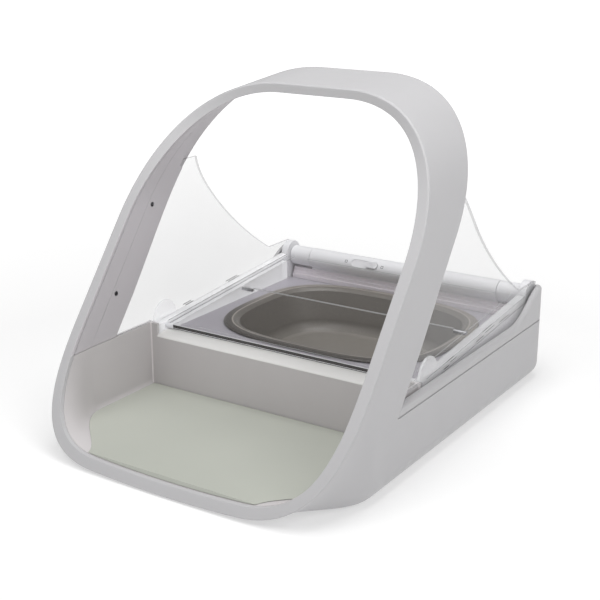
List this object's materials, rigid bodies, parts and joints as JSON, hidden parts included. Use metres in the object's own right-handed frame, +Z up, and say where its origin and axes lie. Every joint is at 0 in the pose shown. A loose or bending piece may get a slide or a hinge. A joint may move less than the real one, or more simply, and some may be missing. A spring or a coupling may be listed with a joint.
{
  "type": "microchip pet feeder",
  "caption": "Covered pet food bowl with a leaning tag-reading arch over a front tray and a folding clear lid that a motor in the rear tube opens along side rails.",
  "frame": {"origin": "on the floor, under the middle of the body's bounding box", "axes": "+Z up; the feeder's front, with its arch and tray, faces -Y; +X is on the right when looking along +Y"},
  "size_m": [0.23, 0.3254, 0.2326],
  "materials": {
    "shell": "fine moulded grey-white plastic, satin",
    "lining": "warm grey moulded plastic, fine texture",
    "lavender": "pale lavender-grey moulded plastic, satin",
    "mat": "green-grey wipe-clean mat, matt",
    "bowl": "dark warm grey moulded plastic, satin",
    "clear": "clear polycarbonate, polished",
    "white": "white moulded plastic, satin gloss",
    "rubber": "black rubber",
    "steel": "plated steel",
    "board": "green solder resist",
    "copper": "enamelled copper wire",
    "cell": null,
    "dark": "black moulded plastic"
  },
  "bodies": {
    "root": {"lower_housing": "shell", "deck_frame": "shell", "battery_door_left": "shell", "battery_door_right": "shell", "arch_lining": "lining", "front_tray": "lining", "bowl_tray": "lavender", "bowl": "bowl", "side_panel_left": "clear", "side_panel_right": "clear", "side_rail_left": "clear", "side_rail_right": "clear", "tube_housing": "white", "tube_cap_left": "white", "tube_cap_right": "white", "rubber_foot_front_left": "rubber", "rubber_foot_front_right": "rubber", "rubber_foot_rear_left": "rubber", "rubber_foot_rear_right": "rubber", "gear_motor": "steel", "contact_plate_left": "steel", "contact_plate_right": "steel", "contact_spring_left": "steel", "contact_spring_right": "steel", "base_screw_front_left": "steel", "base_screw_front_right": "steel", "base_screw_middle_left": "steel", "base_screw_middle_right": "steel", "base_screw_rear_left": "steel", "base_screw_rear_right": "steel", "circuit_board": "board", "antenna_coil": "copper", "battery_inner_left": "cell", "battery_inner_right": "cell", "battery_outer_left": "cell", "battery_outer_right": "cell", "battery_box_left": "dark", "battery_box_right": "dark", "pet_sensor_lower_left": "dark", "pet_sensor_lower_right": "dark", "pet_sensor_upper_left": "dark", "pet_sensor_upper_right": "dark"},
    "lid_rear": {"lid_rear_panel": "clear", "lid_barrel_left": "white", "lid_barrel_right": "white", "drive_shaft": "steel", "idle_pin": "steel", "hinge_pin_left": "steel", "hinge_pin_right": "steel"},
    "lid_front": {"lid_front_panel": "clear", "guide_peg_left": "white", "guide_peg_right": "white"},
    "delay_slider": {"delay_slider": "white"},
    "add_pet_button": {"add_pet_button": "white"},
    "open_close_button": {"open_close_button": "white"},
    "front_mat": {"front_mat": "mat"}
  },
  "joints": [
    {"name": "lid_rear_turn", "type": "hinge", "parent": "root", "child": "lid_rear", "pos_m": [0, 0.1425, 0.065], "axis": [-1, 0, 0], "range_deg": [0, 75]},
    {"name": "lid_fold", "type": "hinge", "parent": "lid_rear", "child": "lid_front", "pos_m": [0, 0.05875, 0.0579], "axis": [-1, 0, 0], "range_deg": [-150, 0]},
    {"name": "delay_slide", "type": "slide", "parent": "root", "child": "delay_slider", "axis": [1, 0, 0], "range_m": [-0.013, 0]},
    {"name": "add_pet_press", "type": "slide", "parent": "root", "child": "add_pet_button", "axis": [0, -1, 0], "range_m": [0, 0.0012], "stiffness_N_per_m": 800},
    {"name": "open_close_press", "type": "slide", "parent": "root", "child": "open_close_button", "axis": [0, -1, 0], "range_m": [0, 0.0012], "stiffness_N_per_m": 800},
    {"name": "front_mat_lift", "type": "slide", "parent": "root", "child": "front_mat", "axis": [0, 0, 1], "range_m": [0, 0.04]}
  ],
  "couplings": [
    {"joint": "lid_fold", "follows": "lid_rear_turn", "ratio": -2}
  ]
}
